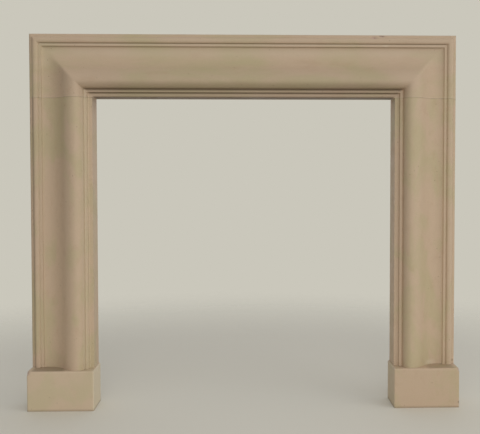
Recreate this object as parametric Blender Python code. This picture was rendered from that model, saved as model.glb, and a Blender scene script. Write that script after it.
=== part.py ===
"""A stone fire surround with a bolection moulding: five stones with flat backs.

Metres, +Z up. The front faces -Y and the foot is the plane Z = 0. The origin is
at the foot, in the middle of the surround's width and depth. The lintel is cut
in one with its two mitred corners and rests on two jambs, and each jamb stands on
a plain foot block.
"""
import math

import bmesh
import bpy

# The opening: between the jambs, and from the foot to the lintel's soffit
OPENING_WIDTH = 0.914
OPENING_HEIGHT = 0.940

# The moulding that frames the opening: its width across the face, from the outer
# edge to the reveal, and the depths of its members, measured out from the back
MOULDING_WIDTH = 0.194
EDGE_DEPTH = 0.042
BAND_DEPTH = 0.065
FILLET_DEPTH = 0.060
HOLLOW_DEPTH = 0.0525
CREST_DEPTH = 0.108
INNER_FILLET_DEPTH = 0.0835
REVEAL_DEPTH = 0.074

# The widths of its members, from the outer edge to the reveal, and how far some
# of them rise or fall; the ogee below the crest takes the width that is left
OVOLO_WIDTH = 0.007
OVOLO_RISE = 0.007
STEP_WIDTH = 0.0025
THUMB_WIDTH = 0.011
BAND_WIDTH = 0.002
BEAD_WIDTH = 0.008
BEAD_FALL = 0.0062
QUIRK_WIDTH = 0.0017
FILLET_WIDTH = 0.007
RISER_WIDTH = 0.001
RISER_FALL = 0.003
HOLLOW_WIDTH = 0.017
SHOULDER_WIDTH = 0.0235
SHOULDER_FALL = 0.0268
INNER_QUIRK_WIDTH = 0.0025
INNER_FILLET_WIDTH = 0.0080
INNER_RISER_WIDTH = 0.0013
REVEAL_BAND_WIDTH = 0.0130

# Of the ogee's width, the share that is concave
OGEE_HOLLOW_SHARE = 0.56

# A foot block ends flush with the jamb's outer edge, and it stands proud of the
# moulding's crest and of the jamb's reveal
BLOCK_HEIGHT = 0.120
BLOCK_FRONT_MARGIN = 0.006
BLOCK_REVEAL_MARGIN = 0.005
BLOCK_ARRIS = 0.004

# Clearance in each bed joint
BED_JOINT = 0.0003

CURVE_STEPS = 8
SWELL_STEPS = 14
ARRIS_STEPS = 3
TINY = 0.000001
SMOOTH_ANGLE = math.radians(30.0)

STONE_ROUGHNESS = 0.75
LINTEL_COLOUR = (0.52, 0.41, 0.26)
JAMB_COLOUR = (0.53, 0.42, 0.27)
BLOCK_COLOUR = (0.53, 0.42, 0.28)


def clear_scene():
    """Remove whatever the open file holds."""
    for item in list(bpy.data.objects):
        bpy.data.objects.remove(item, do_unlink=True)


def stone_material(name, colour):
    """A matt, honed stone of one colour."""
    material = bpy.data.materials.new(name)
    material.use_nodes = True
    shader = material.node_tree.nodes["Principled BSDF"]
    shader.inputs["Base Color"].default_value = (*colour, 1.0)
    shader.inputs["Roughness"].default_value = STONE_ROUGHNESS
    shader.inputs["Metallic"].default_value = 0.0
    return material


def quarter(start, end, steps, leaves_upright):
    """Points of a quarter ellipse after start, up to and with end.

    Each point is (across, out). The curve leaves start at right angles to the back
    where leaves_upright is true, and along the back where it is false.
    """
    across = end[0] - start[0]
    out = end[1] - start[1]
    points = []
    for step in range(1, steps + 1):
        turn = 0.5 * math.pi * step / steps
        if leaves_upright:
            share = (1.0 - math.cos(turn), math.sin(turn))
        else:
            share = (math.sin(turn), 1.0 - math.cos(turn))
        points.append((start[0] + across * share[0], start[1] + out * share[1]))
    return points


def ogee(start, end, hollow_share, steps):
    """Points of an ogee after start: a concave part, then a convex part.

    Both parts are parabolas that lie flat at the ogee's ends and share their
    slope where they meet, so each rises in proportion to its width.
    """
    across = end[0] - start[0]
    out = end[1] - start[1]
    points = []
    for step in range(1, 2 * steps + 1):
        if step <= steps:
            share = hollow_share * step / steps
            height = share ** 2 / hollow_share
        else:
            share = hollow_share + (1.0 - hollow_share) * (step - steps) / steps
            height = 1.0 - (1.0 - share) ** 2 / (1.0 - hollow_share)
        points.append((start[0] + across * share, start[1] + out * height))
    return points


def outer_members():
    """The outer edge, ovolo, step, thumb moulding, bead, quirk and fillet."""
    points = [(0.0, 0.0), (0.0, EDGE_DEPTH)]
    ovolo_end = (OVOLO_WIDTH, EDGE_DEPTH + OVOLO_RISE)
    points += quarter(points[-1], ovolo_end, CURVE_STEPS, True)
    points.append((points[-1][0] + STEP_WIDTH, points[-1][1]))
    thumb_end = (points[-1][0] + THUMB_WIDTH, BAND_DEPTH)
    points += quarter(points[-1], thumb_end, CURVE_STEPS, True)
    points.append((points[-1][0] + BAND_WIDTH, BAND_DEPTH))
    bead_end = (points[-1][0] + BEAD_WIDTH, BAND_DEPTH - BEAD_FALL)
    points += quarter(points[-1], bead_end, CURVE_STEPS, False)
    points.append((points[-1][0] + QUIRK_WIDTH, FILLET_DEPTH))
    points.append((points[-1][0] + FILLET_WIDTH, FILLET_DEPTH))
    return points


def inner_members(crest):
    """The shoulder inside the crest, the quirk, the inner fillet and the flat band."""
    shoulder_end = (crest[0] + SHOULDER_WIDTH, crest[1] - SHOULDER_FALL)
    points = quarter(crest, shoulder_end, SWELL_STEPS, False)
    points.append((points[-1][0] + INNER_QUIRK_WIDTH, INNER_FILLET_DEPTH))
    points.append((points[-1][0] + INNER_FILLET_WIDTH, INNER_FILLET_DEPTH))
    points.append((points[-1][0] + INNER_RISER_WIDTH, REVEAL_DEPTH))
    points.append((MOULDING_WIDTH, REVEAL_DEPTH))
    points.append((MOULDING_WIDTH, 0.0))
    return points


def moulding_profile():
    """The section of the moulding, as (across, out) points from back to back."""
    points = outer_members()
    points.append((points[-1][0] + RISER_WIDTH, FILLET_DEPTH - RISER_FALL))
    hollow_end = (points[-1][0] + HOLLOW_WIDTH, HOLLOW_DEPTH)
    points += quarter(points[-1], hollow_end, CURVE_STEPS, True)
    inner_width = (SHOULDER_WIDTH + INNER_QUIRK_WIDTH + INNER_FILLET_WIDTH
                   + INNER_RISER_WIDTH + REVEAL_BAND_WIDTH)
    crest = (MOULDING_WIDTH - inner_width, CREST_DEPTH)
    points += ogee(points[-1], crest, OGEE_HOLLOW_SHARE, SWELL_STEPS)
    points += inner_members(crest)
    return points


def ring(bm, places):
    """A closed loop of edges through the places."""
    verts = [bm.verts.new(place) for place in places]
    return [bm.edges.new((verts[i - 1], verts[i])) for i in range(len(verts))]


def extrude_ring(bm, edges, move):
    """Extrude a loop of edges and put each new vertex where move says."""
    result = bmesh.ops.extrude_edge_only(bm, edges=edges)
    for item in result["geom"]:
        if isinstance(item, bmesh.types.BMVert):
            item.co = move(item.co.copy())
    new_edges = [item for item in result["geom"] if isinstance(item, bmesh.types.BMEdge)]
    return [edge for edge in new_edges if edge.is_boundary]


def cap(bm, edges):
    """Close the solid over a loop of edges."""
    bmesh.ops.contextual_create(bm, geom=edges)


def finish_stone(bm, name, parent, location, material):
    """Merge the solid's joints, turn its faces outwards and place its object."""
    bmesh.ops.remove_doubles(bm, verts=bm.verts, dist=TINY)
    bmesh.ops.recalc_face_normals(bm, faces=bm.faces)
    mesh = bpy.data.meshes.new(name)
    bm.to_mesh(mesh)
    bm.free()
    mesh.shade_smooth()
    mesh.set_sharp_from_angle(angle=SMOOTH_ANGLE)
    mesh.materials.append(material)
    stone = bpy.data.objects.new(name, mesh)
    bpy.context.scene.collection.objects.link(stone)
    stone.parent = parent
    stone.location = location
    return stone


def make_lintel(profile, parent):
    """The lintel: the moulding run up, across and down, mitred at each corner.

    Its own origin is on the back, in the middle of its flat underside.
    """
    half_width = 0.5 * OPENING_WIDTH + MOULDING_WIDTH

    def to_left_mitre(place):
        place.z = MOULDING_WIDTH - (half_width + place.x)
        return place

    def to_right_mitre(place):
        place.x = -place.x
        return place

    def to_right_bed(place):
        place.z = 0.0
        return place

    bm = bmesh.new()
    left_bed = ring(bm, [(across - half_width, -out, 0.0) for across, out in profile])
    left_mitre = extrude_ring(bm, left_bed, to_left_mitre)
    right_mitre = extrude_ring(bm, left_mitre, to_right_mitre)
    right_bed = extrude_ring(bm, right_mitre, to_right_bed)
    cap(bm, left_bed)
    cap(bm, right_bed)
    material = stone_material("lintel_stone", LINTEL_COLOUR)
    finish_stone(bm, "lintel", parent, (0.0, 0.0, OPENING_HEIGHT), material)


def make_jamb(word, side, profile, parent):
    """A jamb: the moulding run straight up from its foot block to the lintel.

    Its own origin is on the back, at the foot of its reveal.
    """
    foot = BLOCK_HEIGHT + BED_JOINT
    height = OPENING_HEIGHT - BED_JOINT - foot

    def to_head(place):
        place.z = height
        return place

    bm = bmesh.new()
    places = [(side * (MOULDING_WIDTH - across), -out, 0.0) for across, out in profile]
    foot_ring = ring(bm, places)
    head_ring = extrude_ring(bm, foot_ring, to_head)
    cap(bm, foot_ring)
    cap(bm, head_ring)
    material = stone_material(f"{word}_jamb_stone", JAMB_COLOUR)
    location = (side * 0.5 * OPENING_WIDTH, 0.0, foot)
    finish_stone(bm, f"{word}_jamb", parent, location, material)


def is_arris(edge, depth):
    """Whether an edge of a foot block is one of its five visible arrises."""
    places = [vert.co for vert in edge.verts]
    at_front = all(place.y < TINY - depth for place in places)
    at_top = all(place.z > BLOCK_HEIGHT - TINY for place in places)
    at_wall = all(place.y > -TINY for place in places)
    at_hearth = all(place.z < TINY for place in places)
    return (at_front or at_top) and not at_wall and not at_hearth


def make_foot_block(word, side, depth, parent):
    """A foot block: a plain stone with its visible arrises eased.

    Its own origin is at the back and the foot, below the jamb's reveal.
    """

    def to_front(place):
        place.y = -depth
        return place

    bm = bmesh.new()
    inner = -side * BLOCK_REVEAL_MARGIN
    outer = side * MOULDING_WIDTH
    corners = [(inner, 0.0), (outer, 0.0), (outer, BLOCK_HEIGHT), (inner, BLOCK_HEIGHT)]
    back_ring = ring(bm, [(across, 0.0, up) for across, up in corners])
    front_ring = extrude_ring(bm, back_ring, to_front)
    cap(bm, back_ring)
    cap(bm, front_ring)
    bmesh.ops.recalc_face_normals(bm, faces=bm.faces)
    arrises = [edge for edge in bm.edges if is_arris(edge, depth)]
    bmesh.ops.bevel(bm, geom=arrises, offset=BLOCK_ARRIS, segments=ARRIS_STEPS,
                    profile=0.5, affect="EDGES", clamp_overlap=True)
    material = stone_material(f"{word}_foot_block_stone", BLOCK_COLOUR)
    location = (side * 0.5 * OPENING_WIDTH, 0.0, 0.0)
    finish_stone(bm, f"{word}_foot_block", parent, location, material)


def main():
    clear_scene()
    profile = moulding_profile()
    block_depth = CREST_DEPTH + BLOCK_FRONT_MARGIN
    wall_line = bpy.data.objects.new("wall_line", None)
    wall_line.location = (0.0, 0.5 * block_depth, 0.0)
    bpy.context.scene.collection.objects.link(wall_line)
    make_lintel(profile, wall_line)
    for word, side in (("left", -1.0), ("right", 1.0)):
        make_jamb(word, side, profile, wall_line)
        make_foot_block(word, side, block_depth, wall_line)


main()
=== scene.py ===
"""A stone fire surround with a bolection moulding: its stones' finish and its studio.

The file is laid out as an add-on. Sizes, colours and lights are property groups, and each
group of like stones is an operator, as is the stage. Metres, +Z up, the front faces -Y.
"""
import math

import bpy
import numpy as np
from mathutils import Matrix, Vector, noise


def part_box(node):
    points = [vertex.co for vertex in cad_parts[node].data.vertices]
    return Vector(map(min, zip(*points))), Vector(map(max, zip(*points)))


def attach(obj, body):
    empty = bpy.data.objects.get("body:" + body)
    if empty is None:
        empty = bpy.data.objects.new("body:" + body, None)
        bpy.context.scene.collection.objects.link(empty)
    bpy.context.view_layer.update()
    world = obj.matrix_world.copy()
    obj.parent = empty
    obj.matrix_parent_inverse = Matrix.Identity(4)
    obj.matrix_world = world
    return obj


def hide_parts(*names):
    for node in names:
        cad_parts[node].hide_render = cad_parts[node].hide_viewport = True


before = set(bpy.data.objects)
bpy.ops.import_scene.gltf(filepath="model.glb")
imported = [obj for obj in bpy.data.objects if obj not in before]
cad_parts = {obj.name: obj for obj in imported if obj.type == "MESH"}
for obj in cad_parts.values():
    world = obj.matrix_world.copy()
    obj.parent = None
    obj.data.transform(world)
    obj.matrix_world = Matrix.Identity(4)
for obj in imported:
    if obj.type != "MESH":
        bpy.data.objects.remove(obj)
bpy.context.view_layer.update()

bl_info = {
    "name": "Bolection Fire Surround",
    "version": (1, 0, 0),
    "blender": (4, 5, 0),
    "location": "3D View > Sidebar > Fire Surround",
    "description": "Models and finishes the stones of a fire surround and lights them",
    "category": "Add Mesh",
}

LINTEL_LOW, LINTEL_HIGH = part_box("lintel")
JAMB_LOW, JAMB_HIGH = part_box("right_jamb")
BLOCK_LOW, BLOCK_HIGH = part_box("right_foot_block")
BACK = LINTEL_HIGH.y
HALF_WIDTH = LINTEL_HIGH.x
TOP = LINTEL_HIGH.z
BED = LINTEL_LOW.z
REVEAL = JAMB_LOW.x

TINY = 0.00001

# A corner of the section that turns by more than this is an arris
ARRIS_TURN = math.radians(28.0)
SMOOTH_ANGLE = math.radians(38.0)
WEIGHT_STEPS = 40

# Wear fades out over these distances from the back, the foot and the beds
BACK_FADE = 0.004
FOOT_FADE = 0.003
BED_FADE = 0.0015

# Chips and broken corners: the middle and the reach each way
LINTEL_CHIPS = (
    ((0.396, -0.004, 1.125), (0.014, 0.020, 0.0055)),
    ((0.421, -0.001, 1.1295), (0.013, 0.020, 0.0035)),
)
BLOCK_CORNERS = {
    "left": (((-HALF_WIDTH, BLOCK_LOW.y, BLOCK_HIGH.z), (0.012, 0.012, 0.014)),),
    "right": (((HALF_WIDTH, BLOCK_LOW.y, BLOCK_HIGH.z), (0.010, 0.010, 0.010)),),
}

# Spots and patches: the middle, the reach each way and the number that starts the ragged edge
CHIP_EDGE = ((0.421, -0.001, 1.1305), (0.013, 0.030, 0.0022), 2.9)
FILLET_PATCH = ((0.431, -0.004, 1.0985), (0.010, 0.012, 0.005), 3.1)
LEFT_JAMB_SPOT = ((-0.468, -0.027, 0.172), (0.004, 0.010, 0.005), 1.7)
RIGHT_JAMB_SPOT = ((0.644, 0.012, 0.130), (0.004, 0.010, 0.005), 4.1)
RIGHT_JAMB_FOOT = ((0.571, 0.0, JAMB_LOW.z + 0.008), (0.024, 0.060, 0.012), 5.7)
RIGHT_BLOCK_SPOT = ((0.650, BLOCK_LOW.y, 0.0165), (0.005, 0.010, 0.005), 6.3)

# Painted shade and painted light in the four quirks, from the outer edge inwards: how wide each
# line is, how strong the painted shade is on the lintel and the painted light on the left jamb
LINE_REACHES = (0.0018, 0.0018, 0.004, 0.0022)
QUIRK_SHADE = (0.36, 0.30, 0.66, 0.62)
QUIRK_LIGHT = (0.36, 0.18, 0.66, 0.28)
BED_REACH = 0.0016

# Painted shade in bands over the lintel's crest, shoulder and inner members: how strong each is,
# how far it lies above the soffit and its reach
UNDERSIDE_SHADE = ((0.22, 0.034, 0.009), (0.12, 0.062, 0.030), (0.10, 0.012, 0.008))

# Each foot block's finish: where its pattern starts, how far out the painted shade on its ledge
# starts, how strong that shade and the painted light on its inner side are, and how much
# paler the stone is
BLOCK_FINISH = {
    "left": ((7.9, 0.7, 2.2), 0.537, 0.42, 0.25),
    "right": ((1.4, 0.9, 5.5), 0.552, 0.25, 0.0),
}
LEDGE_END = 0.642

FLOOR_RADIUS = 2.5
LIGHT_AIM = (0.0, 0.0, 0.6)


def length(name, description, default):
    """A size in metres that a user may change."""
    return bpy.props.FloatProperty(name=name, description=description, default=default,
                                   unit="LENGTH", precision=4)


def linear(hex_colour):
    """The linear colour of an sRGB hex value."""
    channels = [int(hex_colour[start:start + 2], 16) / 255.0 for start in (1, 3, 5)]
    return tuple(value / 12.92 if value <= 0.04045 else ((value + 0.055) / 1.055) ** 2.4
                 for value in channels)


def colour(name, description, hex_colour):
    """A colour that a user may change."""
    return bpy.props.FloatVectorProperty(name=name, description=description, subtype="COLOR",
                                         size=3, min=0.0, max=1.0, default=linear(hex_colour))


class MouldingSizes(bpy.types.PropertyGroup):
    """The moulding's members, from the outer edge to the reveal."""

    width: length("Width", "From the outer edge to the reveal", HALF_WIDTH - REVEAL)
    edge_depth: length("Edge depth", "How far the outer side stands out from the back", 0.042)
    band_depth: length("Band depth", "Depth of the flat band above the bead", 0.065)
    fillet_depth: length("Fillet depth", "Depth of the narrow outer fillet", 0.060)
    hollow_depth: length("Hollow depth", "Depth at the foot of the ogee", 0.0525)
    crest_depth: length("Crest depth", "Depth of the moulding's crest", BACK - LINTEL_LOW.y)
    inner_fillet_depth: length("Inner fillet depth", "Depth of the inner fillet", 0.0835)
    reveal_depth: length("Reveal depth", "Depth of the flat band at the reveal", 0.074)
    ovolo: length("Ovolo", "Width and rise of the small ovolo on the outer arris", 0.007)
    step: length("Step", "Width of the step beside the ovolo", 0.0025)
    thumb: length("Thumb", "Width of the thumb moulding", 0.011)
    band: length("Band", "Width of the flat band", 0.002)
    bead: length("Bead", "Width of the bead", 0.008)
    bead_fall: length("Bead fall", "How far the bead falls to its quirk", 0.0062)
    quirk: length("Quirk", "Width of the outer quirk", 0.0017)
    fillet: length("Fillet", "Width of the outer fillet", 0.007)
    riser: length("Riser", "Width of the riser below the outer fillet", 0.001)
    riser_fall: length("Riser fall", "Height of the riser below the outer fillet", 0.003)
    hollow: length("Hollow", "Width of the curve that turns into the ogee", 0.017)
    shoulder: length("Shoulder", "Width of the round shoulder inside the crest", 0.0235)
    shoulder_fall: length("Shoulder fall", "How far the shoulder falls to its quirk", 0.0268)
    inner_quirk: length("Inner quirk", "Width of the inner quirk", 0.0025)
    inner_fillet: length("Inner fillet", "Width of the inner fillet", 0.0080)
    inner_riser: length("Inner riser", "Width of the riser inside the inner fillet", 0.0013)
    reveal_band: length("Reveal band", "Width of the flat band at the reveal", 0.0130)
    arris: length("Arris", "Radius to which the cut arrises have worn", 0.0006)
    block_arris: length("Block arris", "Radius to which the foot blocks' arrises have worn", 0.004)
    pitch: length("Pitch", "Spacing of the modelled points along a stone", 0.003)


class StoneFinish(bpy.types.PropertyGroup):
    """Colours and wear of the stone."""

    buff: colour("Buff", "The stone's usual pinkish buff", "#c5ad92")
    olive: colour("Olive", "Cooler clouds in the stone", "#bbac88")
    rust: colour("Rust", "Warmer clouds in the stone", "#b89b80")
    # the grime colour also paints shade, in the lintel's quirks and lower members and on the foot
    # blocks
    grime_and_shade: colour("Grime", "Dust and soot settled in the quirks", "#5d4a35")
    # the mortar colour also paints light, in the left quirks, on the lintel's fillet and hollow
    # and on the blocks' inner sides
    mortar_and_light: colour("Mortar", "Mortar at the bed joints, and pale dust", "#d4c6ac")
    scar: colour("Scar", "The fresher stone inside a chip", "#b59a8f")
    swell: length("Swell", "How far the rubbed faces wander from true", 0.0005)
    tooling: length("Tooling", "Depth of the mason's rubbing marks", 0.00018)
    chip: length("Chip", "Depth of the deepest chip", 0.0045)


class StudioSettings(bpy.types.PropertyGroup):
    """Camera, floor and lights."""

    camera_place: bpy.props.FloatVectorProperty(
        name="Camera place", description="Where the camera stands", subtype="TRANSLATION",
        default=(0.0040, -2.5200, 0.7256), precision=4)
    yaw: bpy.props.FloatProperty(
        name="Yaw", description="Turn to the right", subtype="ANGLE", default=0.03314)
    pitch: bpy.props.FloatProperty(
        name="Pitch", description="Tilt down", subtype="ANGLE", default=0.03639)
    roll: bpy.props.FloatProperty(
        name="Roll", description="Turn about the view", subtype="ANGLE", default=0.00052)
    lens: bpy.props.FloatProperty(
        name="Lens", description="Focal length in mm on a 36 mm wide sensor", default=61.889)
    shift_x: bpy.props.FloatProperty(
        name="Shift X", description="Sideways shift, in image widths", default=-0.0693)
    shift_y: bpy.props.FloatProperty(
        name="Shift Y", description="Upward shift, in image widths", default=-0.0383)
    floor: colour("Floor", "The plain floor", "#dcd8cb")
    backdrop: colour("Backdrop", "The plain pale surroundings", "#cac7bb")
    front_power: bpy.props.FloatProperty(
        name="Front power", description="The soft light above the camera", unit="POWER",
        default=24.0)
    key_power: bpy.props.FloatProperty(
        name="Key power", description="The soft light from the upper right", unit="POWER",
        default=7.2)
    side_power: bpy.props.FloatProperty(
        name="Side power", description="The soft light from the right side", unit="POWER",
        default=3.5)
    front_glow: bpy.props.FloatProperty(
        name="Front glow", description="Glow from above and behind the camera", default=0.67)
    right_glow: bpy.props.FloatProperty(
        name="Right glow", description="Glow from the right of the camera", default=0.65)
    back_glow: bpy.props.FloatProperty(
        name="Back glow", description="Glow from behind the surround", default=0.90)


def quarter(start, end, steps, leaves_upright):
    """Points of a quarter ellipse after start, up to and with end, as (across, out)."""
    across = end[0] - start[0]
    out = end[1] - start[1]
    points = []
    for step in range(1, steps + 1):
        turn = 0.5 * math.pi * step / steps
        share = (math.sin(turn), 1.0 - math.cos(turn))
        if leaves_upright:
            share = (1.0 - math.cos(turn), math.sin(turn))
        points.append((start[0] + across * share[0], start[1] + out * share[1]))
    return points


def ogee(start, end, hollow_share, steps):
    """Points of an ogee after start: two parabolas that share their slope."""
    across = end[0] - start[0]
    out = end[1] - start[1]
    points = []
    for step in range(1, 2 * steps + 1):
        if step <= steps:
            share = hollow_share * step / steps
            height = share ** 2 / hollow_share
        else:
            share = hollow_share + (1.0 - hollow_share) * (step - steps) / steps
            height = 1.0 - (1.0 - share) ** 2 / (1.0 - hollow_share)
        points.append((start[0] + across * share, start[1] + out * height))
    return points


def moulding_section(sizes):
    """The section from back to back, as (across, out) points before its arrises are eased."""
    points = [(0.0, 0.0), (0.0, sizes.edge_depth)]

    def go(across, out):
        points.append((points[-1][0] + across, out))

    def curve(across, out, steps, leaves_upright):
        end = (points[-1][0] + across, out)
        points.extend(quarter(points[-1], end, steps, leaves_upright))

    curve(sizes.ovolo, sizes.edge_depth + sizes.ovolo, 8, True)
    go(sizes.step, points[-1][1])
    curve(sizes.thumb, sizes.band_depth, 12, True)
    go(sizes.band, sizes.band_depth)
    curve(sizes.bead, sizes.band_depth - sizes.bead_fall, 10, False)
    go(sizes.quirk, sizes.fillet_depth)
    go(sizes.fillet, sizes.fillet_depth)
    go(sizes.riser, sizes.fillet_depth - sizes.riser_fall)
    curve(sizes.hollow, sizes.hollow_depth, 12, True)
    inner = (sizes.shoulder + sizes.inner_quirk + sizes.inner_fillet + sizes.inner_riser
             + sizes.reveal_band)
    crest = (sizes.width - inner, sizes.crest_depth)
    points.extend(ogee(points[-1], crest, 0.56, 20))
    curve(sizes.shoulder, sizes.crest_depth - sizes.shoulder_fall, 20, False)
    go(sizes.inner_quirk, sizes.inner_fillet_depth)
    go(sizes.inner_fillet, sizes.inner_fillet_depth)
    go(sizes.inner_riser, sizes.reveal_depth)
    points.append((sizes.width, sizes.reveal_depth))
    points.append((sizes.width, 0.0))
    return points


def turn_at(before, here, after):
    """How far the section turns at a point."""
    incoming = Vector(here) - Vector(before)
    outgoing = Vector(after) - Vector(here)
    return incoming.angle(outgoing)


def ease_arrises(points, radius):
    """Round each sharp corner of the section that doesn't lie on the back."""
    eased = []
    for index, point in enumerate(points):
        before = Vector(points[index - 1])
        here = Vector(point)
        after = Vector(points[(index + 1) % len(points)])
        if here.y < TINY or turn_at(before, here, after) < ARRIS_TURN:
            eased.append(here)
            continue
        reach = min(radius, 0.4 * (here - before).length, 0.4 * (after - here).length)
        start = here + (before - here).normalized() * reach
        end = here + (after - here).normalized() * reach
        for share in (0.0, 0.5, 1.0):
            chord = start.lerp(end, share)
            eased.append(chord.lerp(here, 0.55 * (1.0 - abs(2.0 * share - 1.0))))
    return eased


def space_out(points, longest):
    """Add points along the section's straight parts, but not along the back."""
    spaced = []
    for index, point in enumerate(points):
        after = points[(index + 1) % len(points)]
        spaced.append(point)
        gap = (after - point).length
        if gap > longest and not (point.y < TINY and after.y < TINY):
            count = math.ceil(gap / longest)
            spaced.extend(point.lerp(after, step / count) for step in range(1, count))
    return spaced


def show_only(piece):
    """Make a piece the only selected and the active object."""
    bpy.ops.object.select_all(action="DESELECT")
    piece.select_set(True)
    bpy.context.view_layer.objects.active = piece


def select_edges(piece, is_chosen):
    """Select the edges of a piece for which is_chosen(start, end) holds.

    The mode is set first, because edit mode in point mode takes in all edges between
    selected points.
    """
    bpy.context.tool_settings.mesh_select_mode = (False, True, False)
    mesh = piece.data
    count = len(mesh.vertices)
    places = np.empty(count * 3, np.float32)
    mesh.vertices.foreach_get("co", places)
    places = places.reshape(-1, 3)
    pairs = np.empty(len(mesh.edges) * 2, np.int32)
    mesh.edges.foreach_get("vertices", pairs)
    pairs = pairs.reshape(-1, 2)
    chosen = is_chosen(places[pairs[:, 0]], places[pairs[:, 1]])
    on_verts = np.zeros(count, bool)
    on_verts[pairs[chosen].ravel()] = True
    mesh.vertices.foreach_set("select", on_verts)
    mesh.edges.foreach_set("select", chosen)
    mesh.polygons.foreach_set("select", np.zeros(len(mesh.polygons), bool))
    mesh.update()


def cut_along(piece, is_lengthwise, cuts):
    """Cut a piece across its lengthwise edges, as many times as cuts lists."""
    for number in cuts:
        select_edges(piece, is_lengthwise)
        bpy.ops.object.mode_set(mode="EDIT")
        bpy.ops.mesh.subdivide(number_cuts=number)
        bpy.ops.object.mode_set(mode="OBJECT")


def draw_ring(name, places):
    """Draw a closed loop of edges through the places, from a circle."""
    bpy.ops.object.select_all(action="DESELECT")
    bpy.ops.mesh.primitive_circle_add(vertices=len(places), radius=0.1, fill_type="NOTHING")
    piece = bpy.context.object
    piece.name = name
    piece.data.name = name
    for vert, place in zip(piece.data.vertices, places):
        vert.co = place
        vert.select = True
    return piece


def extrude_ring(piece, places):
    """Extrude the selected loop of edges and put its new points at the places."""
    bpy.ops.object.mode_set(mode="EDIT")
    bpy.ops.mesh.extrude_region_move(TRANSFORM_OT_translate={"value": (0.0, 0.0, 0.0)})
    bpy.ops.object.mode_set(mode="OBJECT")
    fresh = [vert for vert in piece.data.vertices if vert.select]
    if len(fresh) != len(places):
        raise RuntimeError(f"{piece.name}: a ring has {len(fresh)} points, not {len(places)}")
    for vert, place in zip(fresh, places):
        vert.co = place


def close_piece(piece):
    """Merge doubles, fill the open ends and turn the faces outwards."""
    show_only(piece)
    bpy.ops.object.mode_set(mode="EDIT")
    bpy.ops.mesh.select_all(action="SELECT")
    bpy.ops.mesh.remove_doubles(threshold=TINY)
    bpy.ops.mesh.fill_holes(sides=0)
    bpy.ops.mesh.normals_make_consistent(inside=False)
    bpy.ops.object.mode_set(mode="OBJECT")


def mirrored_copy(piece, name):
    """A copy of a piece with its own mesh, mirrored about the middle of the opening."""
    show_only(piece)
    bpy.ops.object.duplicate(linked=False)
    copy = bpy.context.object
    copy.name = name
    copy.data.name = name
    bpy.ops.object.mode_set(mode="EDIT")
    bpy.ops.mesh.select_all(action="SELECT")
    bpy.ops.transform.resize(value=(-1.0, 1.0, 1.0), center_override=(0.0, 0.0, 0.0))
    bpy.ops.mesh.normals_make_consistent(inside=False)
    bpy.ops.object.mode_set(mode="OBJECT")
    return copy


def vertex_places(piece):
    """The places of a piece's points, as rows of an array."""
    places = np.empty(len(piece.data.vertices) * 3, np.float32)
    piece.data.vertices.foreach_get("co", places)
    return places.reshape(-1, 3).astype(np.float64)


def set_attribute(piece, name, values):
    """Keep a value for each point, which a material reads by its name."""
    attribute = piece.data.attributes.new(name, "FLOAT", "POINT")
    attribute.data.foreach_set("value", np.clip(values, 0.0, 1.0).astype(np.float32))


def set_group(piece, name, weights):
    """Keep the weights as a vertex group, in even steps."""
    group = piece.vertex_groups.new(name=name)
    levels = np.rint(np.clip(weights, 0.0, 1.0) * WEIGHT_STEPS).astype(int)
    for level in range(1, WEIGHT_STEPS + 1):
        chosen = np.flatnonzero(levels == level)
        if len(chosen):
            group.add(chosen.tolist(), level / WEIGHT_STEPS, "REPLACE")


def displace(piece, group, depth, texture):
    """Sink the points of a group by up to a depth, where the texture says, and apply it."""
    show_only(piece)
    bpy.ops.object.modifier_add(type="DISPLACE")
    modifier = piece.modifiers[-1]
    modifier.strength = depth if texture else -depth
    modifier.mid_level = 1.0 if texture else 0.0
    modifier.texture = texture
    modifier.texture_coords = "LOCAL"
    modifier.vertex_group = group
    bpy.ops.object.modifier_apply(modifier=modifier.name)


def clouds(name, size, depth, contrast):
    """A cloud texture whose lumps have about this size."""
    texture = bpy.data.textures.get(name)
    if texture is None:
        texture = bpy.data.textures.new(name, "CLOUDS")
    texture.noise_scale = size
    texture.noise_depth = depth
    texture.contrast = contrast
    return texture


def ragged_spot(places, centre, reach, seed):
    """Weights from 1 in the middle of an ellipsoid to 0 at its ragged edge."""
    offset = (places - np.array(centre)) / np.array(reach)
    distance = np.sqrt((offset ** 2).sum(axis=1))
    weights = np.zeros(len(places))
    for index in np.flatnonzero(distance < 1.6):
        rough = noise.noise(Vector(places[index]) * 260.0 + Vector((seed, 0.0, 0.0)))
        weights[index] = np.clip(1.25 * (1.0 - distance[index]) + 0.35 * rough, 0.0, 1.0)
    return weights


def ridge(values, centre, reach):
    """A bell of values around a centre."""
    return np.exp(-((values - centre) / reach) ** 2)


def node(tree, kind, values=None, links=None, **settings):
    """Add a node: settings are its own, values fill its sockets and links feed them."""
    made = tree.nodes.new(kind)
    for word, value in settings.items():
        setattr(made, word, value)
    for socket, value in (values or {}).items():
        made.inputs[socket].default_value = value
    for socket, source in (links or {}).items():
        tree.links.new(source, made.inputs[socket])
    return made


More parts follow.
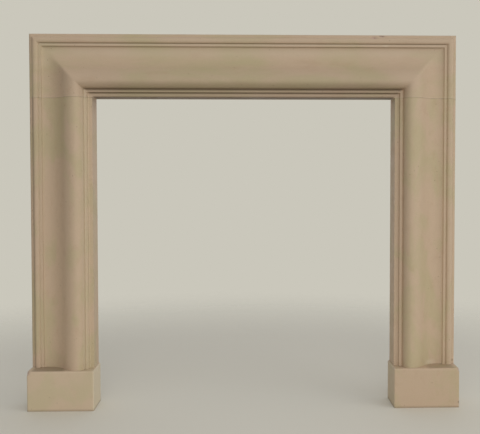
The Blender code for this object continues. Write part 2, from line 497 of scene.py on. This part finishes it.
def honed_limestone(name, finish, place, stretch):
    """Honed limestone: cut, rubbed flat and left unpolished, so it is matt and soft-toned.

    Its clouds of buff, olive and rust are drawn out along the bed of the stone, and a fine
    grain and a few pits break the light. place starts each stone's pattern elsewhere.
    """
    material = bpy.data.materials.new(name)
    material.use_nodes = True
    tree = material.node_tree
    tree.nodes.clear()
    coordinates = node(tree, "ShaderNodeTexCoord")
    bedded = node(tree, "ShaderNodeMapping",
                  {"Location": place, "Scale": stretch},
                  {"Vector": coordinates.outputs["Object"]})
    # clouds about 110 mm across, 1 / 9 m
    clouding = node(tree, "ShaderNodeTexNoise",
                    {"Scale": 9.0, "Detail": 3.0, "Roughness": 0.55, "Distortion": 0.4},
                    {"Vector": bedded.outputs["Vector"]})
    olive_share = node(tree, "ShaderNodeMapRange",
                       {"From Min": 0.42, "From Max": 0.66, "To Min": 0.0, "To Max": 0.80},
                       {"Value": clouding.outputs["Fac"]}, interpolation_type="SMOOTHSTEP")
    olive = node(tree, "ShaderNodeAttribute", attribute_name="olive")
    olive_sum = node(tree, "ShaderNodeMath", links={0: olive_share.outputs["Result"],
                                                    1: olive.outputs["Fac"]},
                     operation="ADD", use_clamp=True)
    # smaller warm flecks, 1 / 26 m or about 40 mm
    flecking = node(tree, "ShaderNodeTexNoise",
                    {"Scale": 26.0, "Detail": 4.0, "Roughness": 0.6, "Distortion": 0.2},
                    {"Vector": bedded.outputs["Vector"]})
    rust_share = node(tree, "ShaderNodeMapRange",
                      {"From Min": 0.52, "From Max": 0.76, "To Min": 0.0, "To Max": 0.30},
                      {"Value": flecking.outputs["Fac"]}, interpolation_type="SMOOTHSTEP")
    cooler = node(tree, "ShaderNodeMix",
                  {6: (*finish.buff, 1.0), 7: (*finish.olive, 1.0)},
                  {0: olive_sum.outputs["Value"]}, data_type="RGBA")
    warmer = node(tree, "ShaderNodeMix", {7: (*finish.rust, 1.0)},
                  {0: rust_share.outputs["Result"], 6: cooler.outputs[2]}, data_type="RGBA")
    # the grain is 0.3 mm in the stone and is drawn at 1.6 mm, as coarse as it needs to show
    grain = node(tree, "ShaderNodeTexNoise",
                 {"Scale": 620.0, "Detail": 3.0, "Roughness": 0.65},
                 {"Vector": coordinates.outputs["Object"]})
    grain_tone = node(tree, "ShaderNodeMapRange",
                      {"From Min": 0.3, "From Max": 0.7, "To Min": 0.93, "To Max": 1.06},
                      {"Value": grain.outputs["Fac"]})
    grained = node(tree, "ShaderNodeMix", {0: 1.0},
                   {6: warmer.outputs[2], 7: grain_tone.outputs["Result"]},
                   data_type="RGBA", blend_type="MULTIPLY")
    # pits of 1 to 2 mm, some 25 mm apart
    pits = node(tree, "ShaderNodeTexVoronoi", {"Scale": 40.0, "Randomness": 1.0},
                {"Vector": coordinates.outputs["Object"]})
    pit_share = node(tree, "ShaderNodeMapRange",
                     {"From Min": 0.03, "From Max": 0.07, "To Min": 0.55, "To Max": 0.0},
                     {"Value": pits.outputs["Distance"]})
    pitted = node(tree, "ShaderNodeMix", {7: (*finish.grime_and_shade, 1.0)},
                  {0: pit_share.outputs["Result"], 6: grained.outputs[2]}, data_type="RGBA")
    # this attribute paints mortar and pale patches, and painted light: in the left quirks, on the
    # lintel's fillet and hollow and on the foot blocks' inner sides
    mortar_and_light = node(tree, "ShaderNodeAttribute", attribute_name="mortar_and_light")
    smeared_and_lit = node(tree, "ShaderNodeMix", {7: (*finish.mortar_and_light, 1.0)},
                   {0: mortar_and_light.outputs["Fac"], 6: pitted.outputs[2]}, data_type="RGBA")
    scar = node(tree, "ShaderNodeAttribute", attribute_name="scar")
    scarred = node(tree, "ShaderNodeMix", {7: (*finish.scar, 1.0)},
                   {0: scar.outputs["Fac"], 6: smeared_and_lit.outputs[2]}, data_type="RGBA")
    # this attribute paints spots and chip edges, and painted shade: in the lintel's quirks and
    # lower members, beside the left jamb's thumb, on the blocks' ledges and along their feet
    grime_and_shade = node(tree, "ShaderNodeAttribute", attribute_name="grime_and_shade")
    soiled_and_shaded = node(tree, "ShaderNodeMix", {7: (*finish.grime_and_shade, 1.0)},
                  {0: grime_and_shade.outputs["Fac"], 6: scarred.outputs[2]}, data_type="RGBA")
    # honed stone is matt, and rougher where the clouds are denser
    roughness = node(tree, "ShaderNodeMapRange",
                     {"From Min": 0.3, "From Max": 0.7, "To Min": 0.58, "To Max": 0.74},
                     {"Value": flecking.outputs["Fac"]})
    grain_bump = node(tree, "ShaderNodeBump", {"Strength": 0.35, "Distance": 0.0004},
                      {"Height": grain.outputs["Fac"]})
    pit_bump = node(tree, "ShaderNodeBump", {"Strength": 0.6, "Distance": 0.0008},
                    {"Height": pit_share.outputs["Result"],
                     "Normal": grain_bump.outputs["Normal"]}, invert=True)
    shader = node(tree, "ShaderNodeBsdfPrincipled",
                  {"Metallic": 0.0, "IOR": 1.5, "Specular IOR Level": 0.35},
                  {"Base Color": soiled_and_shaded.outputs[2], "Roughness": roughness.outputs["Result"],
                   "Normal": pit_bump.outputs["Normal"]})
    node(tree, "ShaderNodeOutputMaterial", links={"Surface": shader.outputs["BSDF"]})
    return material


def keep_off_joints(places):
    """Weights for wear: none on the back, the foot and the beds, full elsewhere."""
    from_back = BACK - places[:, 1]
    weights = np.clip(from_back / BACK_FADE, 0.0, 1.0)
    weights *= np.clip(places[:, 2] / FOOT_FADE, 0.0, 1.0)
    for bed in (BED, JAMB_LOW.z):
        weights *= np.clip(np.abs(places[:, 2] - bed) / BED_FADE, 0.0, 1.0)
    return weights


def wear_stone(piece, finish, scars):
    """Let the rubbed faces wander, mark the mason's rubbing and sink the chips."""
    places = vertex_places(piece)
    set_group(piece, "rubbed", keep_off_joints(places))
    broken = np.zeros(len(places))
    for seed, (centre, reach) in enumerate(scars):
        broken = np.maximum(broken, ragged_spot(places, centre, reach, 7.3 * seed))
    set_attribute(piece, "scar", broken * 1.3)
    if scars:
        set_group(piece, "broken", broken)
        displace(piece, "broken", finish.chip, None)
    displace(piece, "rubbed", finish.swell, clouds("slow swell", 0.085, 1, 1.0))
    displace(piece, "rubbed", finish.tooling, clouds("mason's rubbing", 0.014, 2, 1.2))


def quirk_places(sizes):
    """Where the four quirks lie across the moulding, from the outer edge inwards."""
    outer_quirk = sizes.ovolo + sizes.step + sizes.thumb + sizes.band + sizes.bead
    riser = outer_quirk + sizes.quirk + sizes.fillet + 0.5 * sizes.riser
    inner_riser = sizes.width - sizes.reveal_band - 0.5 * sizes.inner_riser
    inner_quirk = inner_riser - sizes.inner_fillet - 0.5 * sizes.inner_quirk
    return outer_quirk, riser + 0.001, inner_quirk, inner_riser + 0.0008


def lines_along(sizes, across, amounts):
    """Lines of painted shade or painted light along the quirks, by the amount for each."""
    lines = np.zeros(len(across))
    for place, reach, amount in zip(quirk_places(sizes), LINE_REACHES, amounts):
        lines += amount * ridge(across, place, reach)
    return lines


def is_exposed(places):
    """Whether each point is far enough from the back to be seen, soiled and painted with shade or
    light.
    """
    return BACK - places[:, 1] > 0.010


def from_mitres(places):
    """How far each point lies into the lintel's level run from its nearer mitre."""
    return HALF_WIDTH - np.abs(places[:, 0]) - (TOP - places[:, 2])


def mark_shade_and_light_lintel(piece, sizes, across, places):
    """Keep the lintel's painted shade, its mortar, its painted light and the olive cloud left of
    its middle.

    Painted shade lies in the quirks and at the soffit's arris along the level run, and in bands
    over its crest, shoulder and inner members. The returns above the jambs have none on the right,
    and on the left the painted light in the quirks that the jamb has. A painted highlight lies on
    the run's outer fillet, and painted light on its hollow.
    """
    from_mitre = from_mitres(places)
    level = np.clip(from_mitre / 0.008, 0.0, 1.0)
    near_level = np.clip((from_mitre + 0.060) / 0.160, 0.0, 1.0)
    exposed = is_exposed(places)
    # painted shade in the quirks and at the soffit's arris, where the lower members face down
    lintel_shade = lines_along(sizes, across, QUIRK_SHADE)
    soffit_shade = ridge(across, sizes.width, 0.0036)
    lintel_shade += 0.80 * soffit_shade
    # painted shade in broad bands over the crest, the shoulder and the inner members
    underside_shade = np.zeros(len(across))
    for amount, above, reach in UNDERSIDE_SHADE:
        underside_shade += amount * ridge(across, sizes.width - above, reach)
    dark = lintel_shade * level + underside_shade * near_level
    dark += 0.75 * ragged_spot(places, *CHIP_EDGE)
    set_attribute(piece, "grime_and_shade", dark * exposed)
    # painted light in the quirks of the left return, as on the left jamb
    painted_light_and_patch = lines_along(sizes, across, QUIRK_LIGHT) * (1.0 - level)
    mortar_and_light = painted_light_and_patch * (places[:, 0] < 0.0)
    # a painted highlight on the level run's outer fillet
    fillet_highlight = ridge(across, quirk_places(sizes)[0] + 0.0032, 0.0015)
    mortar_and_light += 0.55 * fillet_highlight * level
    # painted light on the hollow
    hollow_light = ridge(across, 0.056, 0.013)
    mortar_and_light += 0.22 * hollow_light * near_level
    at_bed = ridge(places[:, 2], BED, BED_REACH)
    beyond_reveal = np.abs(places[:, 0]) > REVEAL - TINY
    mortar_and_light += 0.24 * at_bed * beyond_reveal
    mortar_and_light += 0.6 * ragged_spot(places, *FILLET_PATCH)
    set_attribute(piece, "mortar_and_light", mortar_and_light * exposed)
    cloud = ridge(places[:, 0], -0.118, 0.150) * ridge(places[:, 2], 1.033, 0.030)
    set_attribute(piece, "olive", 0.75 * cloud)


def mark_shade_and_light_jamb(piece, sizes, across, places, has_painted_shade_and_light):
    """Keep a jamb's dark bed line and pale foot, and the left one's painted shade by its thumb
    and painted light in its quirks.
    """
    exposed = is_exposed(places)
    dark = 0.12 * ridge(places[:, 2], JAMB_HIGH.z, BED_REACH)
    if has_painted_shade_and_light:
        # painted shade on the outward face of the left jamb's thumb
        thumb_shade = ridge(across, 0.0130, 0.0036)
        dark += 0.30 * thumb_shade
        dark += 0.9 * ragged_spot(places, *LEFT_JAMB_SPOT)
        # painted light in the left jamb's quirks
        painted_light_and_patch = lines_along(sizes, across, QUIRK_LIGHT)
    else:
        dark += 0.9 * ragged_spot(places, *RIGHT_JAMB_SPOT)
        painted_light_and_patch = 0.5 * ragged_spot(places, *RIGHT_JAMB_FOOT)
    set_attribute(piece, "grime_and_shade", dark * exposed)
    set_attribute(piece, "mortar_and_light", painted_light_and_patch * exposed)
    set_attribute(piece, "olive", np.zeros(len(places)))


def mark_shade_and_light_foot_block(piece, places, ledge, painted_strength, paleness):
    """Keep a foot block's painted shade on its ledge and along its foot, and the painted light
    on its inner side.
    """
    outwards = np.abs(places[:, 0])
    ledge_shadow_mask = np.clip((outwards - ledge) / 0.012, 0.0, 1.0)
    ledge_shadow_mask *= np.clip((places[:, 1] - BLOCK_LOW.y - 0.003) / 0.003, 0.0, 1.0)
    ledge_shadow_mask *= np.clip((LEDGE_END - outwards) / 0.010, 0.0, 1.0)
    # painted contact shade along the foot, where the block meets the floor
    grime_and_shade = 0.5 * ridge(places[:, 2], 0.0, 0.004)
    # painted shade on the ledge beside the jamb, where the jamb keeps the light off it
    grime_and_shade += painted_strength * ledge_shadow_mask * ridge(places[:, 2], BLOCK_HIGH.z, 0.003)
    grime_and_shade += 0.8 * ragged_spot(places, *RIGHT_BLOCK_SPOT)
    set_attribute(piece, "grime_and_shade", grime_and_shade)
    # painted light on the side that faces the opening
    inner_side_light = ridge(outwards, BLOCK_LOW.x, 0.002)
    set_attribute(piece, "mortar_and_light", 1.7 * painted_strength * inner_side_light + paleness)
    set_attribute(piece, "olive", np.zeros(len(places)))


def soften_mitres(piece, sizes, across, places):
    """Round the mitres between the hollow and the crest, as they were rubbed by hand."""
    hollow, crest = 0.046, sizes.width - 0.050
    weights = ridge(from_mitres(places), 0.0, 0.030)
    weights *= np.clip((across - hollow) / 0.006, 0.0, 1.0)
    weights *= np.clip((crest - across) / 0.010, 0.0, 1.0)
    set_group(piece, "mitres", weights)
    show_only(piece)
    bpy.ops.object.modifier_add(type="SMOOTH")
    modifier = piece.modifiers[-1]
    modifier.factor = 0.5
    modifier.iterations = 40
    modifier.vertex_group = "mitres"
    bpy.ops.object.modifier_apply(modifier=modifier.name)


def finish_piece(piece, material, cad_node):
    """Give a stone its material and smooth shading, and let it stand for its CAD node."""
    show_only(piece)
    bpy.ops.object.shade_smooth_by_angle(angle=SMOOTH_ANGLE)
    piece.data.materials.clear()
    piece.data.materials.append(material)
    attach(piece, "root")
    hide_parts(cad_node)


class SURROUND_OT_lintel(bpy.types.Operator):
    """Model the lintel: the moulding run up, across and down, mitred at both corners"""

    bl_idname = "surround.lintel"
    bl_label = "Lintel"

    def execute(self, context):
        sizes = context.scene.surround_sizes
        finish = context.scene.surround_finish
        section = space_out(ease_arrises(moulding_section(sizes), sizes.arris), sizes.pitch)
        left_bed = [Vector((p.x - HALF_WIDTH, BACK - p.y, BED)) for p in section]
        left_mitre = [Vector((p.x - HALF_WIDTH, BACK - p.y, TOP - p.x)) for p in section]
        right_mitre = [Vector((HALF_WIDTH - p.x, BACK - p.y, TOP - p.x)) for p in section]
        right_bed = [Vector((HALF_WIDTH - p.x, BACK - p.y, BED)) for p in section]
        piece = draw_ring("lintel_stone", left_bed)
        for places in (left_mitre, right_mitre, right_bed):
            extrude_ring(piece, places)

        def is_long(start, end):
            step = np.abs(end - start)
            level = (step[:, 1] < TINY) & (step[:, 2] < TINY) & (step[:, 0] > TINY)
            from_side = HALF_WIDTH - 0.5 * np.abs(start + end)[:, 0]
            return level & (TOP - start[:, 2] <= from_side + TINY)

        def is_upright(start, end):
            step = np.abs(end - start)
            return (step[:, 0] < TINY) & (step[:, 1] < TINY) & (step[:, 2] > TINY)

        cut_along(piece, is_upright, (7, 4))
        cut_along(piece, is_long, (20, 18))
        close_piece(piece)
        places = vertex_places(piece)
        across = np.minimum(TOP - places[:, 2], HALF_WIDTH - np.abs(places[:, 0]))
        mark_shade_and_light_lintel(piece, sizes, across, places)
        soften_mitres(piece, sizes, across, places)
        wear_stone(piece, finish, LINTEL_CHIPS)
        material = honed_limestone("honed limestone, lintel", finish, (0.31, 0.0, 0.17),
                                   (0.42, 1.0, 1.0))
        finish_piece(piece, material, "lintel")
        return {"FINISHED"}


class SURROUND_OT_jambs(bpy.types.Operator):
    """Model the two jambs: the moulding run straight up from its foot block"""

    bl_idname = "surround.jambs"
    bl_label = "Jambs"

    def execute(self, context):
        sizes = context.scene.surround_sizes
        finish = context.scene.surround_finish
        section = space_out(ease_arrises(moulding_section(sizes), sizes.arris), sizes.pitch)
        foot = [Vector((HALF_WIDTH - p.x, BACK - p.y, JAMB_LOW.z)) for p in section]
        head = [Vector((HALF_WIDTH - p.x, BACK - p.y, JAMB_HIGH.z)) for p in section]
        right = draw_ring("right_jamb_stone", foot)
        extrude_ring(right, head)

        def is_upright(start, end):
            return np.abs(end - start)[:, 2] > TINY

        cut_along(right, is_upright, (14, 17))
        close_piece(right)
        left = mirrored_copy(right, "left_jamb_stone")
        for piece, cad_node, place in ((left, "left_jamb", (2.3, 0.4, 1.1)),
                                       (right, "right_jamb", (5.1, 0.2, 3.7))):
            places = vertex_places(piece)
            mark_shade_and_light_jamb(piece, sizes, HALF_WIDTH - np.abs(places[:, 0]), places, piece is left)
            wear_stone(piece, finish, ())
            material = honed_limestone(f"honed limestone, {cad_node}", finish, place,
                                       (1.7, 1.0, 0.95))
            finish_piece(piece, material, cad_node)
        return {"FINISHED"}


class SURROUND_OT_foot_blocks(bpy.types.Operator):
    """Model the two foot blocks: plain stones with softened arrises"""

    bl_idname = "surround.foot_blocks"
    bl_label = "Foot Blocks"

    def execute(self, context):
        sizes = context.scene.surround_sizes
        finish = context.scene.surround_finish
        middle = 0.5 * (BLOCK_LOW + BLOCK_HIGH)
        bpy.ops.object.select_all(action="DESELECT")
        bpy.ops.mesh.primitive_cube_add(size=1.0, location=(0.0, 0.0, 0.0))
        right = bpy.context.object
        right.name = "right_foot_stone"
        right.data.name = "right_foot_stone"
        right.data.transform(Matrix.Translation(middle) @ Matrix.Diagonal(
            (*(BLOCK_HIGH - BLOCK_LOW), 1.0)))

        def is_arris(start, end):
            at_front = (start[:, 1] < BLOCK_LOW.y + TINY) & (end[:, 1] < BLOCK_LOW.y + TINY)
            at_top = (start[:, 2] > BLOCK_HIGH.z - TINY) & (end[:, 2] > BLOCK_HIGH.z - TINY)
            at_back = (start[:, 1] > BACK - TINY) & (end[:, 1] > BACK - TINY)
            at_foot = (start[:, 2] < TINY) & (end[:, 2] < TINY)
            return (at_front | at_top) & ~at_back & ~at_foot

        select_edges(right, is_arris)
        bpy.ops.object.mode_set(mode="EDIT")
        bpy.ops.mesh.bevel(offset=sizes.block_arris, segments=5, profile=0.5, affect="EDGES",
                           clamp_overlap=True)
        bpy.ops.object.mode_set(mode="OBJECT")
        for axis, cuts in ((0, 62), (1, 36), (2, 38)):

            def is_along(start, end, axis=axis):
                return np.abs(end - start)[:, axis] > 0.06

            cut_along(right, is_along, (cuts,))
        close_piece(right)
        left = mirrored_copy(right, "left_foot_stone")
        for word, piece in (("left", left), ("right", right)):
            place, ledge, painted_strength, paleness = BLOCK_FINISH[word]
            mark_shade_and_light_foot_block(piece, vertex_places(piece), ledge, painted_strength, paleness)
            wear_stone(piece, finish, BLOCK_CORNERS[word])
            material = honed_limestone(f"honed limestone, {word} foot block", finish, place,
                                       (1.3, 1.0, 1.3))
            finish_piece(piece, material, f"{word}_foot_block")
        return {"FINISHED"}


def soft_light(name, place, aim, side, power):
    """A square area light that faces a point."""
    data = bpy.data.lights.new(name, "AREA")
    data.shape = "SQUARE"
    data.size = side
    data.energy = power
    light = bpy.data.objects.new(name, data)
    light.location = place
    light.rotation_euler = (Vector(aim) - Vector(place)).to_track_quat("-Z", "Y").to_euler()
    bpy.context.scene.collection.objects.link(light)


class SURROUND_OT_stage(bpy.types.Operator):
    """Set the camera, the plain floor, the pale surroundings and the soft lights"""

    bl_idname = "surround.stage"
    bl_label = "Stage"

    def execute(self, context):
        studio = context.scene.surround_studio
        bpy.ops.object.select_all(action="DESELECT")
        bpy.ops.mesh.primitive_circle_add(vertices=96, radius=FLOOR_RADIUS, fill_type="NGON",
                                          location=(0.0, 0.0, 0.0))
        floor = bpy.context.object
        floor.name = "studio_floor"
        paint = bpy.data.materials.new("matt floor paint")
        paint.use_nodes = True
        tree = paint.node_tree
        tree.nodes.clear()
        coordinates = node(tree, "ShaderNodeTexCoord")
        from_middle = node(tree, "ShaderNodeVectorMath",
                           links={0: coordinates.outputs["Object"]}, operation="LENGTH")
        # the floor thins out between 0.9 and 2.4 m, so it has no hard edge
        fade = node(tree, "ShaderNodeMapRange",
                    {"From Min": 0.9, "From Max": 2.4, "To Min": 0.0, "To Max": 1.0},
                    {"Value": from_middle.outputs["Value"]}, interpolation_type="SMOOTHSTEP")
        matt = node(tree, "ShaderNodeBsdfPrincipled",
                    {"Base Color": (*studio.floor, 1.0), "Roughness": 0.8})
        clear = node(tree, "ShaderNodeBsdfTransparent")
        faded = node(tree, "ShaderNodeMixShader",
                     links={0: fade.outputs["Result"], 1: matt.outputs["BSDF"],
                            2: clear.outputs["BSDF"]})
        node(tree, "ShaderNodeOutputMaterial", links={"Surface": faded.outputs["Shader"]})
        floor.data.materials.append(paint)
        self.set_surroundings(context, studio)
        soft_light("front", (0.0, -3.33, 1.31), LIGHT_AIM, 1.8, studio.front_power)
        soft_light("key", (2.6, -1.5, 1.7), LIGHT_AIM, 1.6, studio.key_power)
        soft_light("side", (3.1, -0.55, 1.45), LIGHT_AIM, 1.6, studio.side_power)
        self.set_camera(context, studio)
        context.scene.view_settings.view_transform = "Standard"
        return {"FINISHED"}

    def set_surroundings(self, context, studio):
        """Glow softly from above the camera, from its right and from behind the surround.

        The camera itself sees one plain pale tone all round.
        """
        world = bpy.data.worlds.new("pale surroundings")
        world.use_nodes = True
        tree = world.node_tree
        tree.nodes.clear()
        direction = node(tree, "ShaderNodeTexCoord")
        glows = (
            ((0.0, -0.8, 0.6), 6.0, studio.front_glow),
            ((0.77, -0.6, 0.2), 6.0, studio.right_glow),
            ((0.0, 1.0, 0.0), 2.0, studio.back_glow),
        )
        strength = None
        for toward, tightness, brightness in glows:
            facing = node(tree, "ShaderNodeVectorMath", {1: Vector(toward).normalized()},
                          {0: direction.outputs["Generated"]}, operation="DOT_PRODUCT")
            share = node(tree, "ShaderNodeMath", {1: 0.5, 2: 0.5},
                         {0: facing.outputs["Value"]}, operation="MULTIPLY_ADD")
            glow = node(tree, "ShaderNodeMath", {1: tightness},
                        {0: share.outputs["Value"]}, operation="POWER")
            links = {0: glow.outputs["Value"]}
            if strength is not None:
                links[2] = strength
            added = node(tree, "ShaderNodeMath", {1: brightness, 2: 0.0}, links,
                         operation="MULTIPLY_ADD")
            strength = added.outputs["Value"]
        light = node(tree, "ShaderNodeBackground", {"Color": (1.0, 1.0, 1.0, 1.0)},
                     {"Strength": strength})
        backdrop = node(tree, "ShaderNodeBackground",
                        {"Color": (*studio.backdrop, 1.0), "Strength": 1.0})
        rays = node(tree, "ShaderNodeLightPath")
        seen = node(tree, "ShaderNodeMixShader",
                    links={0: rays.outputs["Is Camera Ray"], 1: light.outputs["Background"],
                           2: backdrop.outputs["Background"]})
        node(tree, "ShaderNodeOutputWorld", links={"Surface": seen.outputs["Shader"]})
        context.scene.world = world

    def set_camera(self, context, studio):
        """Stand the camera where the photograph was taken from."""
        cos_yaw, sin_yaw = math.cos(studio.yaw), math.sin(studio.yaw)
        cos_pitch, sin_pitch = math.cos(studio.pitch), math.sin(studio.pitch)
        right = Vector((cos_yaw, -sin_yaw, 0.0))
        forward = Vector((sin_yaw * cos_pitch, cos_yaw * cos_pitch, -sin_pitch))
        down = forward.cross(right)
        cos_roll, sin_roll = math.cos(studio.roll), math.sin(studio.roll)
        rolled_right = cos_roll * right + sin_roll * down
        rolled_down = cos_roll * down - sin_roll * right
        data = bpy.data.cameras.new("camera")
        data.sensor_fit = "HORIZONTAL"
        data.sensor_width = 36.0
        data.lens = studio.lens
        data.shift_x = studio.shift_x
        data.shift_y = studio.shift_y
        data.dof.use_dof = False
        camera = bpy.data.objects.new("camera", data)
        turn = Matrix((rolled_right, -rolled_down, -forward)).transposed().to_4x4()
        camera.matrix_world = Matrix.Translation(studio.camera_place) @ turn
        context.scene.collection.objects.link(camera)
        context.scene.camera = camera


class SURROUND_PT_panel(bpy.types.Panel):
    """The fire surround's sizes, finish and lights, and a button for each group of pieces"""

    bl_idname = "SURROUND_PT_panel"
    bl_label = "Fire Surround"
    bl_space_type = "VIEW_3D"
    bl_region_type = "UI"
    bl_category = "Fire Surround"

    def draw(self, context):
        layout = self.layout
        scene = context.scene
        for group in (scene.surround_sizes, scene.surround_finish, scene.surround_studio):
            box = layout.box()
            for word in group.__annotations__:
                box.prop(group, word)
        for operator in OPERATORS:
            layout.operator(operator.bl_idname)


OPERATORS = (SURROUND_OT_lintel, SURROUND_OT_jambs, SURROUND_OT_foot_blocks, SURROUND_OT_stage)
CLASSES = (MouldingSizes, StoneFinish, StudioSettings) + OPERATORS + (SURROUND_PT_panel,)


def register():
    for item in CLASSES:
        bpy.utils.register_class(item)
    scene = bpy.types.Scene
    scene.surround_sizes = bpy.props.PointerProperty(type=MouldingSizes)
    scene.surround_finish = bpy.props.PointerProperty(type=StoneFinish)
    scene.surround_studio = bpy.props.PointerProperty(type=StudioSettings)


def unregister():
    scene = bpy.types.Scene
    del scene.surround_studio
    del scene.surround_finish
    del scene.surround_sizes
    for item in reversed(CLASSES):
        bpy.utils.unregister_class(item)


def main():
    register()
    bpy.ops.surround.lintel()
    bpy.ops.surround.jambs()
    bpy.ops.surround.foot_blocks()
    bpy.ops.surround.stage()


if __name__ == "__main__":
    main()
